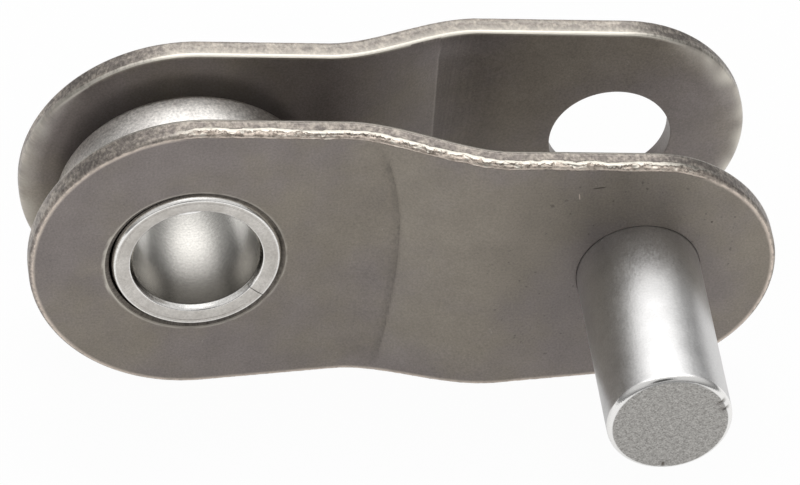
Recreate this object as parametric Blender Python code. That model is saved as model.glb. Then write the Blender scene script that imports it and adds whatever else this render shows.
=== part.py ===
"""Offset chain link (half link) of 12.7 mm pitch, for a narrow roller chain.

Two cranked side plates hold a rolled bushing with a loose roller at one end. At the other end
the joining pin stands in the near plate, pushed back, ready to be pressed home through the far
plate. The link stands on the tapered lower edges of its plates.

Link frame: X from the bushing axis to the pin axis, Y along both axes (near plate at -Y), Z up.
"""
import math

import bmesh
import bpy
from mathutils import Matrix

# Driving dimensions
MM = 0.001
PITCH = 12.70 * MM
PLATE_THICKNESS = 0.72 * MM
BUSHING_END_GAP = 2.68 * MM  # between the plates' inner faces, at the bushing
PIN_END_GAP = 5.10 * MM  # between the plates' inner faces, at the pin
BUSHING_END_RADIUS = 4.85 * MM
PIN_END_RADIUS = 4.03 * MM
NEAR_BEND_START = 4.15 * MM  # from the bushing axis
FAR_BEND_START = 3.98 * MM
BEND_RUN = 4.65 * MM
INNER_EDGE_ROUND = 0.07 * MM
OUTER_EDGE_ROUND = 0.14 * MM  # worn rounder by tumbling

PIN_DIAMETER = 3.60 * MM
PIN_LENGTH = 7.20 * MM
PIN_TAIL = 0.13 * MM  # past the near plate's inner face
PIN_END_ROUND = 0.23 * MM
PIN_FIT = 0.03 * MM  # radial, pin to plate
HOLE_EDGE_ROUND = 0.06 * MM

BUSHING_WALL = 0.63 * MM
BUSHING_PIN_FIT = 0.05 * MM  # radial, bore to the next link's pin
BUSHING_PROUD = 0.08 * MM  # past each plate's outer face
BUSHING_MOUTH_ROUND = 0.13 * MM
BUSHING_EDGE_ROUND = 0.08 * MM
SEAM_GAP = 0.04 * MM
SEAM_ANGLE = math.radians(-35)
BUSHING_FIT = 0.04 * MM  # radial, bushing to plate

ROLLER_WALL = 1.315 * MM
ROLLER_EDGE_ROUND = 0.12 * MM
ROLLER_RUNNING_FIT = 0.08 * MM  # radial, roller to bushing
ROLLER_NEAR_PLAY = 0.08 * MM  # roller to the near plate
ROLLER_FAR_PLAY = 0.50 * MM  # roller to the far plate

# Fineness of the facets
ROUND_SIDES = 48
ROUND_STEPS = 2
END_ARC_STEPS = 24
BEND_STEPS = 12

# Sizes that follow
TAPER = math.asin((BUSHING_END_RADIUS - PIN_END_RADIUS) / PITCH)
BEND_OFFSET = (PIN_END_GAP - BUSHING_END_GAP) / 2
BUSHING_BORE = PIN_DIAMETER + 2 * BUSHING_PIN_FIT
BUSHING_DIAMETER = BUSHING_BORE + 2 * BUSHING_WALL
BUSHING_LENGTH = BUSHING_END_GAP + 2 * PLATE_THICKNESS + 2 * BUSHING_PROUD
ROLLER_BORE = BUSHING_DIAMETER + 2 * ROLLER_RUNNING_FIT
ROLLER_DIAMETER = ROLLER_BORE + 2 * ROLLER_WALL
ROLLER_LENGTH = BUSHING_END_GAP - ROLLER_NEAR_PLAY - ROLLER_FAR_PLAY
PIN_HALF_WIDTH = PIN_END_GAP / 2 + PLATE_THICKNESS  # mid-plane to the outer face, at the pin
PIN_INNER_END = PIN_TAIL - PIN_END_GAP / 2
PIN_TIP = PIN_INNER_END - PIN_LENGTH

STEELS = {  # colour, roughness
    "plate_steel": ((0.21, 0.195, 0.18), 0.42),
    "bushing_steel": ((0.62, 0.62, 0.60), 0.28),
    "roller_steel": ((0.42, 0.42, 0.40), 0.50),
    "pin_steel": ((0.50, 0.51, 0.51), 0.30),
}


def clear_scene():
    for item in list(bpy.data.objects):
        bpy.data.objects.remove(item, do_unlink=True)


def steel(name):
    colour, roughness = STEELS[name]
    material = bpy.data.materials.get(name) or bpy.data.materials.new(name)
    material.use_nodes = True
    shader = material.node_tree.nodes["Principled BSDF"]
    shader.inputs["Base Color"].default_value = (*colour, 1)
    shader.inputs["Metallic"].default_value = 1
    shader.inputs["Roughness"].default_value = roughness
    return material


def add_object(name, mesh_data, parent, location=(0, 0, 0)):
    """Turn a bmesh into a named object under the link's empty."""
    mesh = bpy.data.meshes.new(name)
    mesh_data.to_mesh(mesh)
    mesh_data.free()
    mesh.shade_smooth()
    mesh.set_sharp_from_angle(angle=math.radians(35))
    item = bpy.data.objects.new(name, mesh)
    bpy.context.scene.collection.objects.link(item)
    item.parent = parent
    item.location = location
    return item


def arc(centre, radius, start, end, steps):
    """Points on an arc, both ends included."""
    turns = [start + (end - start) * step / steps for step in range(steps + 1)]
    return [(centre[0] + radius * math.cos(turn), centre[1] + radius * math.sin(turn)) for turn in turns]


def plate_outline():
    """The two end arcs, joined by their common tangents, in the link's X and Z."""
    quarter = math.pi / 2
    pin_end = arc((PITCH, 0), PIN_END_RADIUS, -quarter + TAPER, quarter - TAPER, END_ARC_STEPS)
    bushing_end = arc((0, 0), BUSHING_END_RADIUS, quarter - TAPER, 3 * quarter + TAPER, END_ARC_STEPS)
    return pin_end + bushing_end


def bend_height(along):
    """How far the sheet has moved outwards, and its slope, at a share of the bend's run."""
    share = min(max(along / BEND_RUN, 0), 1)
    height = BEND_OFFSET * share * share * (3 - 2 * share)
    slope = BEND_OFFSET * 6 * share * (1 - share) / BEND_RUN
    return height, slope


def bend_blank(blank, bend_start):
    """Crank a flat blank, whose thickness runs along Y, and keep that thickness square to the sheet."""
    for step in range(BEND_STEPS + 1):
        station = bend_start + BEND_RUN * step / BEND_STEPS
        every_part = blank.verts[:] + blank.edges[:] + blank.faces[:]
        bmesh.ops.bisect_plane(blank, geom=every_part, plane_co=(station, 0, 0), plane_no=(1, 0, 0))
    for vert in blank.verts:
        height, slope = bend_height(vert.co.x - bend_start)
        lean = math.atan(slope)
        depth = vert.co.y
        vert.co.x -= depth * math.sin(lean)
        vert.co.y = height + depth * math.cos(lean)


def round_rim(blank, side, width):
    """Round the outline's edge on one side of the blank."""
    level = side * PLATE_THICKNESS / 2
    tolerance = PLATE_THICKNESS / 100
    rim = [edge for edge in blank.edges if all(abs(vert.co.y - level) < tolerance for vert in edge.verts)]
    bmesh.ops.bevel(
        blank, geom=rim, offset=width, offset_type="OFFSET", segments=ROUND_STEPS, profile=0.5,
        affect="EDGES", clamp_overlap=True, material=-1,
    )


def plate_blank(bend_start):
    """A cranked plate without its holes. Its outer side is at +Y, its mid-plane at Y = 0 by the bushing."""
    blank = bmesh.new()
    corners = [blank.verts.new((x, -PLATE_THICKNESS / 2, z)) for x, z in plate_outline()]
    face = blank.faces.new(corners)
    raised = bmesh.ops.extrude_face_region(blank, geom=[face])["geom"]
    lifted = [item for item in raised if isinstance(item, bmesh.types.BMVert)]
    bmesh.ops.translate(blank, verts=lifted, vec=(0, PLATE_THICKNESS, 0))
    bmesh.ops.recalc_face_normals(blank, faces=blank.faces)
    round_rim(blank, -1, INNER_EDGE_ROUND)
    round_rim(blank, 1, OUTER_EDGE_ROUND)
    bend_blank(blank, bend_start)
    return blank


def turned(profile, sides, sweep=2 * math.pi, start=0.0):
    """Turn a closed profile of (radius, Y) points about the Y axis, from the given angle above +X."""
    shape = bmesh.new()
    corners = [shape.verts.new((radius, y, 0)) for radius, y in profile]
    full = math.isclose(sweep, 2 * math.pi)
    if full:
        ring = list(zip(corners, corners[1:] + corners[:1]))
        part = [shape.edges.new(pair) for pair in ring if any(vert.co.x > 0 for vert in pair)]
    else:
        part = [shape.faces.new(corners)]
    bmesh.ops.spin(
        shape, geom=corners + part, cent=(0, 0, 0), axis=(0, -1, 0), angle=sweep, steps=sides,
        use_merge=full, use_duplicate=False,
    )
    bmesh.ops.remove_doubles(shape, verts=shape.verts, dist=1e-8)
    bmesh.ops.rotate(shape, verts=shape.verts, cent=(0, 0, 0), matrix=Matrix.Rotation(-start, 3, "Y"))
    bmesh.ops.recalc_face_normals(shape, faces=shape.faces)
    return shape


def ring_profile(inner, outer, low, high, inner_round, outer_round):
    """A tube wall's section with its four corners rounded."""
    quarter = math.pi / 2
    return (
        arc((outer - outer_round, low + outer_round), outer_round, -quarter, 0, ROUND_STEPS)
        + arc((outer - outer_round, high - outer_round), outer_round, 0, quarter, ROUND_STEPS)
        + arc((inner + inner_round, high - inner_round), inner_round, quarter, 2 * quarter, ROUND_STEPS)
        + arc((inner + inner_round, low + inner_round), inner_round, 2 * quarter, 3 * quarter, ROUND_STEPS)
    )


def hole_cutter(name, parent, x, radius, inner_face, outer_face):
    """A turned cutter for one hole: straight in the sheet, and flared to round both of its edges."""
    quarter = math.pi / 2
    flare = radius + HOLE_EDGE_ROUND
    low, high = sorted((inner_face, outer_face))
    profile = (
        [(0, low - PLATE_THICKNESS), (flare, low - PLATE_THICKNESS)]
        + arc((flare, low + HOLE_EDGE_ROUND), HOLE_EDGE_ROUND, 3 * quarter, 2 * quarter, ROUND_STEPS)
        + arc((flare, high - HOLE_EDGE_ROUND), HOLE_EDGE_ROUND, 2 * quarter, quarter, ROUND_STEPS)
        + [(flare, high + PLATE_THICKNESS), (0, high + PLATE_THICKNESS)]
    )
    cutter = add_object(name, turned(profile, ROUND_SIDES), parent, (x, 0, 0))
    cutter.hide_render = True
    cutter.display_type = "WIRE"
    return cutter


def cut(item, cutter):
    difference = item.modifiers.new(cutter.name, "BOOLEAN")
    difference.operation = "DIFFERENCE"
    difference.solver = "EXACT"
    difference.object = cutter


def side_plate(name, parent, side, bend_start):
    """One cranked plate. side is -1 for the near plate and 1 for the far one."""
    blank = plate_blank(bend_start)
    bmesh.ops.translate(blank, verts=blank.verts, vec=(0, (BUSHING_END_GAP + PLATE_THICKNESS) / 2, 0))
    if side < 0:
        bmesh.ops.scale(blank, verts=blank.verts, vec=(1, -1, 1))
        bmesh.ops.reverse_faces(blank, faces=blank.faces)
    plate = add_object(name, blank, parent)
    plate.data.materials.append(steel("plate_steel"))
    holes = {
        "bushing_hole": (0, BUSHING_DIAMETER / 2 + BUSHING_FIT, BUSHING_END_GAP / 2),
        "pin_hole": (PITCH, PIN_DIAMETER / 2 + PIN_FIT, PIN_END_GAP / 2),
    }
    for hole, (x, radius, inner_face) in holes.items():
        outer_face = inner_face + PLATE_THICKNESS
        cut(plate, hole_cutter(f"{name}_{hole}", parent, x, radius, side * inner_face, side * outer_face))
    return plate


def bushing(parent):
    """Strip rolled into a tube, with its open seam, through both plates."""
    seam = SEAM_GAP / (BUSHING_DIAMETER / 2)
    profile = ring_profile(
        BUSHING_BORE / 2, BUSHING_DIAMETER / 2, -BUSHING_LENGTH / 2, BUSHING_LENGTH / 2,
        BUSHING_MOUTH_ROUND, BUSHING_EDGE_ROUND,
    )
    shape = turned(profile, ROUND_SIDES, sweep=2 * math.pi - seam, start=SEAM_ANGLE + seam / 2)
    add_object("bushing", shape, parent).data.materials.append(steel("bushing_steel"))


def roller(parent):
    """The loose sleeve on the bushing, nearer to the near plate."""
    low = ROLLER_NEAR_PLAY - BUSHING_END_GAP / 2
    profile = ring_profile(
        ROLLER_BORE / 2, ROLLER_DIAMETER / 2, low, low + ROLLER_LENGTH,
        ROLLER_EDGE_ROUND, ROLLER_EDGE_ROUND,
    )
    add_object("roller", turned(profile, ROUND_SIDES), parent).data.materials.append(steel("roller_steel"))


def pin(parent):
    """The joining pin, held by the near plate, with both of its ends rounded."""
    quarter = math.pi / 2
    radius = PIN_DIAMETER / 2
    middle = radius - PIN_END_ROUND
    profile = (
        [(0, 0)]
        + arc((middle, PIN_END_ROUND), PIN_END_ROUND, -quarter, 0, ROUND_STEPS)
        + arc((middle, PIN_LENGTH - PIN_END_ROUND), PIN_END_ROUND, 0, quarter, ROUND_STEPS)
        + [(0, PIN_LENGTH)]
    )
    item = add_object("pin", turned(profile, ROUND_SIDES), parent, (PITCH, PIN_TIP, 0))
    item.data.materials.append(steel("pin_steel"))


def link_frame():
    """The empty that stands the link on its lower edges, centred over the origin."""
    empty = bpy.data.objects.new("link_frame", None)
    bpy.context.scene.collection.objects.link(empty)
    reach = PITCH * math.cos(TAPER) + PIN_END_RADIUS - BUSHING_END_RADIUS
    empty.location = (-reach / 2, -(PIN_TIP + PIN_HALF_WIDTH) / 2, BUSHING_END_RADIUS)
    empty.rotation_euler = (0, TAPER, 0)
    return empty


clear_scene()
link = link_frame()
side_plate("near_plate", link, -1, NEAR_BEND_START)
side_plate("far_plate", link, 1, FAR_BEND_START)
bushing(link)
roller(link)
pin(link)
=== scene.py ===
import math

import bmesh
import bpy
from mathutils import Matrix, Vector
from mathutils.noise import noise


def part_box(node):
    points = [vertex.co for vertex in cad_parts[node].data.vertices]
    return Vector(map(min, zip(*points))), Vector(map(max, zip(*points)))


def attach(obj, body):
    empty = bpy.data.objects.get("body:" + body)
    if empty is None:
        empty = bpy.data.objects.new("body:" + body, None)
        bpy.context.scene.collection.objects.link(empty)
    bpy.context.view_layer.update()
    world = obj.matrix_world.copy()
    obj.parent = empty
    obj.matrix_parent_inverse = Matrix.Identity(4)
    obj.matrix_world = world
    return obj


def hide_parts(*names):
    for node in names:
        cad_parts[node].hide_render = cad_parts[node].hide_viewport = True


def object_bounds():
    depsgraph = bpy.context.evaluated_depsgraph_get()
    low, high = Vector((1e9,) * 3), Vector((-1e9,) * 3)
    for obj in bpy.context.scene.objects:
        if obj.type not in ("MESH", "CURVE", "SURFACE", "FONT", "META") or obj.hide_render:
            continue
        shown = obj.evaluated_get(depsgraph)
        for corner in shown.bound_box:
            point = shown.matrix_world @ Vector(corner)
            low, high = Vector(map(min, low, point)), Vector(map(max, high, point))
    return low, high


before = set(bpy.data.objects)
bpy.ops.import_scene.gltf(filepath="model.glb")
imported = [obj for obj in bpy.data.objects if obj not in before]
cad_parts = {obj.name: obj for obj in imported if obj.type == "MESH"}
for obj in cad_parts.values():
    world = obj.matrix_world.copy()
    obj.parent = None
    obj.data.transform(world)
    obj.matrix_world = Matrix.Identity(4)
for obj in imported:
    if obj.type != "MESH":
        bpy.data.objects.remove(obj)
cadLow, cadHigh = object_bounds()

quarter = math.pi / 2


# The link's own frame, in millimetres: X from the bushing axis to the pin axis, near plate at -Y, Z up

def boxCentre(node):
    low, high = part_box(node)
    return (low + high) / 2


bushingAxis = boxCentre("roller")
pinAxis = boxCentre("pin")
taper = math.atan2(bushingAxis.z - pinAxis.z, pinAxis.x - bushingAxis.x)
pitch = math.hypot(bushingAxis.z - pinAxis.z, pinAxis.x - bushingAxis.x) * 1000
linkCentre = Vector((bushingAxis.x, boxCentre("bushing").y, bushingAxis.z))
linkPlace = Matrix.Translation(linkCentre) @ Matrix.Rotation(taper, 4, "Y") @ Matrix.Scale(0.001, 4)


def arc(centre, radius, start, end, steps):
    turns = [start + (end - start) * step / steps for step in range(steps + 1)]
    return [(centre[0] + radius * math.cos(turn), centre[1] + radius * math.sin(turn)) for turn in turns]


def smooth(low, high, value):
    share = min(max((value - low) / (high - low), 0), 1)
    return share * share * (3 - 2 * share)


def bell(value, middle, width):
    return math.exp(-((value - middle) / width) ** 2)


def newObject(name, data):
    made = bpy.data.objects.new(name, data)
    bpy.context.scene.collection.objects.link(made)
    return made


def addPiece(node, shape, material, body, creaseAngle):
    # Put the finished mesh in the row frame, in the node's stead, and leave its object at the origin
    bmesh.ops.recalc_face_normals(shape, faces=shape.faces)
    bmesh.ops.transform(shape, matrix=linkPlace, verts=shape.verts)
    mesh = bpy.data.meshes.new(f"{node}Dressed")
    shape.to_mesh(mesh)
    shape.free()
    mesh.shade_smooth()
    mesh.set_sharp_from_angle(angle=math.radians(creaseAngle))
    mesh.materials.append(material)
    piece = newObject(mesh.name, mesh)
    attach(piece, body)
    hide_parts(node)
    print(f"{node}: {len(mesh.vertices)} vertices, {len(mesh.polygons)} faces")


def drawSection(shape, points, turn=0, closed=False):
    # A line of (radius, Y) points, turned up from +X
    corners = [shape.verts.new((radius, y, 0)) for radius, y in points]
    line = [shape.edges.new(pair) for pair in zip(corners, corners[1:])]
    if closed:
        line.append(shape.edges.new((corners[-1], corners[0])))
    bmesh.ops.rotate(shape, verts=corners, matrix=Matrix.Rotation(-turn, 3, "Y"))
    return corners + line


def spinRound(shape, section, steps):
    bmesh.ops.spin(
        shape, geom=section, axis=(0, -1, 0), angle=2 * math.pi, steps=steps,
        use_merge=True, use_duplicate=False,
    )


# Shader nodes

def wire(tree, made, inputs):
    # Link the sockets among the values, and set the others
    for name, value in inputs.items():
        if isinstance(value, bpy.types.NodeSocket):
            tree.links.new(value, made.inputs[name])
        else:
            made.inputs[name].default_value = value
    return made.outputs


def addNode(tree, kind, inputs=None, **options):
    made = tree.nodes.new("ShaderNode" + kind)
    for name, value in options.items():
        setattr(made, name, value)
    wire(tree, made, inputs or {})
    return made


def calc(tree, operation, *values, clamp=False):
    return addNode(tree, "Math", dict(enumerate(values)), operation=operation, use_clamp=clamp).outputs[0]


def times(tree, product, *others):
    for other in others:
        product = calc(tree, "MULTIPLY", product, other)
    return product


def vectorCalc(tree, operation, *values):
    made = addNode(tree, "VectorMath", dict(enumerate(values)), operation=operation)
    return made.outputs["Value" if operation in ("LENGTH", "DOT_PRODUCT") else "Vector"]


def mapped(tree, vector, scale, turn=(0, 0, 0), kind="POINT"):
    inputs = {"Vector": vector, "Rotation": turn, "Scale": scale}
    return addNode(tree, "Mapping", inputs, vector_type=kind).outputs["Vector"]


def axisOf(tree, vector, axis):
    return addNode(tree, "SeparateXYZ", {0: vector}).outputs[axis]


def attribute(tree, name, output="Fac"):
    return addNode(tree, "Attribute", attribute_name=name).outputs[output]


def noiseAt(tree, vector, size, detail, roughness=0.5, output="Fac"):
    inputs = {"Vector": vector, "Scale": size, "Detail": detail, "Roughness": roughness}
    return addNode(tree, "TexNoise", inputs).outputs[output]


def mapRange(tree, value, fromMin, fromMax, toMin=0.0, toMax=1.0, kind="SMOOTHSTEP"):
    inputs = {"Value": value, "From Min": fromMin, "From Max": fromMax, "To Min": toMin, "To Max": toMax}
    return addNode(tree, "MapRange", inputs, interpolation_type=kind).outputs["Result"]


def between(tree, value, low, high, soft):
    # 1 from low to high, with soft ends
    ends = ((low - soft, low + soft), (high + soft, high - soft))
    return times(tree, *(mapRange(tree, value, *end) for end in ends))


def blend(tree, share, first, second):
    return addNode(tree, "Mix", {0: share, 2: first, 3: second}).outputs[0]


def mixColour(tree, share, first, second, kind="MIX"):
    first, second = ((*value, 1) if isinstance(value, tuple) else value for value in (first, second))
    inputs = {0: share, 6: first, 7: second}
    return addNode(tree, "Mix", inputs, data_type="RGBA", blend_type=kind).outputs[2]


def newMaterial(name):
    material = bpy.data.materials.new(name)
    material.use_nodes = True
    return material, material.node_tree


def grainGroup():
    # Fine tumbled grain with soft mottling, both about 0.5, from coordinates in millimetres
    tree = bpy.data.node_groups.new("steelGrain", "ShaderNodeTree")
    for label, way, kind in (
        ("Vector", "INPUT", "Vector"), ("Grain Size", "INPUT", "Float"), ("Mottle Size", "INPUT", "Float"),
        ("Grain", "OUTPUT", "Float"), ("Mottle", "OUTPUT", "Float"), ("Height", "OUTPUT", "Float"),
    ):
        tree.interface.new_socket(label, in_out=way, socket_type="NodeSocket" + kind)
    given = tree.nodes.new("NodeGroupInput").outputs
    fine = noiseAt(tree, given["Vector"], given["Grain Size"], 3.0, 0.65)
    soft = noiseAt(tree, given["Vector"], given["Mottle Size"], 5.0, 0.6)
    height = calc(tree, "MULTIPLY_ADD", soft, 0.3, fine)
    wire(tree, tree.nodes.new("NodeGroupOutput"), {"Grain": fine, "Mottle": soft, "Height": height})
    return tree


steelGrain = grainGroup()


def millimetres(tree, centre, turn=(0, 0, 0)):
    # Object coordinates in millimetres about a point of the row frame
    moved = vectorCalc(tree, "SUBTRACT", addNode(tree, "TexCoord").outputs["Object"], centre)
    return mapped(tree, moved, (1000, 1000, 1000), turn)


def grainOf(tree, coordinates, finish):
    made = tree.nodes.new("ShaderNodeGroup")
    made.node_tree = steelGrain
    return wire(tree, made, {
        "Vector": coordinates, "Grain Size": finish["grainSize"], "Mottle Size": finish["mottleSize"]})


def shaded(tree, colour, pattern, levels, spread=0.2):
    # Darken and lighten a colour with a pattern that runs about 0.5
    shade = mapRange(tree, pattern, 0.5 - spread, 0.5 + spread, *levels, kind="LINEAR")
    return mixColour(tree, 1.0, colour, shade, "MULTIPLY")


def roughened(tree, pattern, finish):
    return mapRange(tree, pattern, 0.3, 0.7, *finish["roughness"])


def finished(material, finish, colour, roughness, height, metallic=1):
    tree = material.node_tree
    normal = addNode(tree, "Bump", {
        "Strength": finish["bump"], "Distance": finish["bumpDepth"], "Height": height}).outputs["Normal"]
    wire(tree, tree.nodes["Principled BSDF"], {
        "Base Color": colour, "Roughness": roughness, "Metallic": metallic, "Normal": normal})
    return material


# Side plates

plate = {
    "thickness": 0.72,
    "bushingEndGap": 2.68,
    "pinEndGap": 5.10,
    "bushingEndRadius": 4.85,
    "bendRun": 4.65,
    "innerSlope": ((0.045, 0), (0.028, 0.026), (0.013, 0.054), (0.004, 0.085), (0, 0.120)),
    "outerRound": 0.14,
    "tornFrom": 0.32,  # height on the wall above which it is finely meshed
    "margin": 0.9,  # width of the finely meshed border
    "innerDepths": (0.75, 0.60, 0.46, 0.35, 0.26, 0.18, 0.11),  # lines in that border, on each face
    "outerDepths": (0.165, 0.20, 0.25, 0.33, 0.5),
    "stationStep": 0.045,  # along the outline
    "bushingHole": (-0.035, -0.02, 2.500, 0.03, 0.11),  # X, Z, radius, edge round and sunk rim
    "pinHole": (pitch, 0, 1.808, 0.018, 0),
    "holeSteps": 160,
    "collar": (0.40, 0.20, 0.10, 0.05),  # rings of the mesh round a hole
    "stations": ((3.98, 0.12, 41), (5.2, 0.03, 27), (7.145, 0.03, 11)),  # cuts: first, step and count
    "levels": ((-3.6, 0.4, 19),),
}
plate["pinEndRadius"] = plate["bushingEndRadius"] - pitch * math.sin(taper)
straight = pitch * math.cos(taper)
pinArc = (quarter - taper) * plate["pinEndRadius"]
bushingArc = (quarter + taper) * plate["bushingEndRadius"]
outlineLength = 2 * (pinArc + straight + bushingArc)


def rimSection():
    # (depth inside the outline, height above the inner face), from that face round to the outer one
    thickness, large, tornFrom = plate["thickness"], plate["outerRound"], plate["tornFrom"]
    shoulder, slopeTop = thickness - large, plate["innerSlope"][-1][1]
    inner = [(depth, 0) for depth in (plate["margin"], *plate["innerDepths"])]
    sheared = [(0, slopeTop + (tornFrom - slopeTop) * step / 3) for step in (1, 2, 3)]
    torn = [(0, tornFrom + (shoulder - tornFrom) * step / 11) for step in range(1, 11)]
    lip = arc((large, shoulder), large, math.pi, quarter, 10)
    outer = [(depth, thickness) for depth in (*plate["outerDepths"], plate["margin"])]
    return inner + list(plate["innerSlope"]) + sheared + torn + lip + outer


def sweepRim():
    # Spin the section round the upper half of the bushing end, draw it along the top and round the pin end
    rim = bmesh.new()
    step = plate["stationStep"]
    points = [(plate["bushingEndRadius"] - depth, height) for depth, height in rimSection()]
    part = drawSection(rim, points, math.pi)
    along = Vector((math.cos(taper), 0, -math.sin(taper)))
    for centre, sweep, travel, count in (
        ((0, 0, 0), quarter + taper, 0, round(bushingArc / step)),
        ((0, 0, 0), 0, straight, round(straight / step)),
        ((pitch, 0, 0), quarter - taper, 0, round(pinArc / step)),
    ):
        part = bmesh.ops.spin(
            rim, geom=part, cent=centre, axis=(0, 1, 0), dvec=along * travel / count, angle=sweep,
            steps=count, use_merge=False, use_duplicate=False,
        )["geom_last"]
    whole = rim.verts[:] + rim.edges[:] + rim.faces[:]
    bmesh.ops.mirror(rim, geom=whole, matrix=Matrix.Identity(4), merge_dist=2e-3, axis="Z")
    bmesh.ops.remove_doubles(rim, verts=rim.verts, dist=2e-3)
    return rim


def sinkHole(x, z, radius, edge, sink):
    # The wall, the rounded edges and the sunk outer rim of a hole, with a collar on each face
    hole = bmesh.new()
    thickness, depth = plate["thickness"], edge + 0.6 * sink
    collar = [radius + sink + edge + away for away in plate["collar"]]
    points = [(reach, 0) for reach in collar]
    points += arc((radius + edge, edge), edge, 3 * quarter, math.pi, 3)
    points += [(radius, edge + (thickness - edge - depth) * step / 3) for step in (1, 2)]
    if sink:
        points += [(radius, thickness - depth), (radius + 0.85 * sink, thickness - edge - 0.1 * sink)]
    points += arc((radius + sink + edge, thickness - edge), edge, math.pi, quarter, 4)
    points += [(reach, thickness) for reach in reversed(collar)]
    spinRound(hole, drawSection(hole, points), plate["holeSteps"])
    bmesh.ops.translate(hole, verts=hole.verts, vec=(x, 0, z))
    return hole


def joined(*shapes):
    whole = bmesh.new()
    for shape in shapes:
        part = bpy.data.meshes.new("part")
        shape.to_mesh(part)
        shape.free()
        whole.from_mesh(part)
        bpy.data.meshes.remove(part)
    return whole


def fillFace(blank, level, stations, levels):
    # Close one face between the border and the holes' collars, and cut it across so that it can bend
    loops = [edge for edge in blank.edges if edge.is_boundary
             and all(abs(vert.co.y - level) < 1e-4 for vert in edge.verts)]
    filled = bmesh.ops.triangle_fill(
        blank, use_beauty=True, use_dissolve=False, edges=loops, normal=(0, 1, 0))["geom"]
    faces = [item for item in filled if isinstance(item, bmesh.types.BMFace)]
    part = faces + list({edge for face in faces for edge in face.edges})
    part += list({vert for face in faces for vert in face.verts})
    cuts = [((station, 0, 0), (1, 0, 0)) for station in stations]
    cuts += [((0, 0, height), (0, 0, 1)) for height in levels]
    for place, facing in cuts:
        part = bmesh.ops.bisect_plane(blank, geom=part, plane_co=place, plane_no=facing, dist=1e-5)["geom"]


def rimPlace(x, z):
    # Depth inside the outline, way along it from the pin end's tip, and the outward direction
    height = abs(z)
    sine, cosine = math.sin(taper), math.cos(taper)
    large, small = plate["bushingEndRadius"], plate["pinEndRadius"]
    along = cosine * x - sine * height
    if 0 <= along <= straight:
        inside = large - sine * x - cosine * height
        return inside, math.copysign(pinArc + straight - along, z), (sine, math.copysign(cosine, z))
    if along < 0:
        radius, centre, start, before = large, 0, quarter - taper, pinArc + straight
    else:
        radius, centre, start, before = small, pitch, 0, 0
    reach = math.hypot(x - centre, z)
    way = before + (math.atan2(height, x - centre) - start) * radius
    outward = ((x - centre) / max(reach, 1e-6), z / max(reach, 1e-6))
    return radius - reach, math.copysign(way, z), outward


def span(lower, starts, ends):
    # 1 along the top and bottom edges, fading past their two ends
    return smooth(*starts, lower) * smooth(*ends, lower - straight)


# The edge's wall; a pair of pairs says where a mark fades, before the straight edge and past it
wear = {
    "wallReach": 0.20,  # how far in from the outline the edge has its own colour
    "wallOnly": 0.06,
    "pale": ((-1.6, -0.4), (1.9, 0.5)),
    "paleShade": (0.12, 0.35),  # all over, and more towards the inner face
    # the bright line is partly bare steel and partly a painted highlight on the rounded inner edge
    "brightLine": ((-2.4, -1.2), (5.6, 3.8)),
    "lineHeight": (0.115, 0.075),
    "lineShade": 0.85,
    "lineLeast": 0.25,
    "endShade": 0.42,
    "pinEndShade": 1.4,  # times the bushing end's
}


def ageWall(blank, bareAndSheen, paintedShade, share):
    # The wall's own colour, its pale top, the bright line along its inner side, partly a painted highlight,
    # and painted shade on the walls round the ends
    wall = blank.verts.layers.float.new("wall")
    for vert in blank.verts:
        x, height, z = vert.co
        inside, way, outward = rimPlace(x, z)
        vert[wall] = smooth(wear["wallReach"], 0, inside) * smooth(-0.04, 0.02, height)
        if inside > wear["wallOnly"] or height > plate["thickness"] - plate["outerRound"] / 2:
            continue
        lower = abs(way) - pinArc
        over = lower - straight
        pale = wear["paleShade"][0] + wear["paleShade"][1] * smooth(0.45, 0.10, height)
        line = min(span(lower, *wear["brightLine"]) + wear["lineLeast"], 1)
        vert[bareAndSheen] = span(lower, *wear["pale"]) * (1 - share) * pale
        # the bright line: partly bare steel, partly a painted highlight on the rounded inner edge
        vert[bareAndSheen] += wear["lineShade"] * line * smooth(*wear["lineHeight"], height)
        # painted shade on the walls round both ends of the outline, more at the pin end
        atPin = smooth(0.4, -1.0, lower) * smooth(-0.85 * pinArc, -0.5 * pinArc, lower)
        atBushing = smooth(0.6, 2.0, over) * smooth(0.72 * bushingArc, 0.45 * bushingArc, over)
        shadeShare = wear["endShade"] * (wear["pinEndShade"] * atPin + atBushing)
        vert[paintedShade] = shadeShare * smooth(0.01, 0.03, height)


# The torn border of the outer face, left by the blanking tool
tear = {
    "reach": ((-2.6, -0.6), (1.8, -0.1)),
    "depth": 0.6,  # inside the outline
    "fromHeight": 0.13,
    "belowShare": 0.25,  # of the upper edge's tearing
    "ridgeAt": 0.525,  # height of the bright ridge above the inner face, at the bushing end
    "ridgeAtPin": 0.485,
    "ridgeRise": 0.012,
    "ridgeHalf": (0.090, 0.055),  # half width, at its foot and its top
    "ridgeWander": 0.080,
    "crackAt": 0.125,  # beyond the ridge
    "crackDepth": 0.020,
    "crackWidth": 0.026,
    "lipAt": 0.745,  # along the section, on the rounded corner
    "lipRise": 0.006,
    "lipWidth": 0.025,
    "lipWander": 0.018,
    "roughness": 0.026,
}


def sectionPath(inside, height):
    # Length up the wall and round the outer corner, and how far the surface leans over
    large = plate["outerRound"]
    shoulder = plate["thickness"] - large
    if height <= shoulder + 1e-5:
        return height, 0.0
    if inside >= large - 1e-5:
        return shoulder + large * quarter + inside - large, quarter
    lean = math.atan2(height - shoulder, large - inside)
    return shoulder + large * lean, lean


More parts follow.
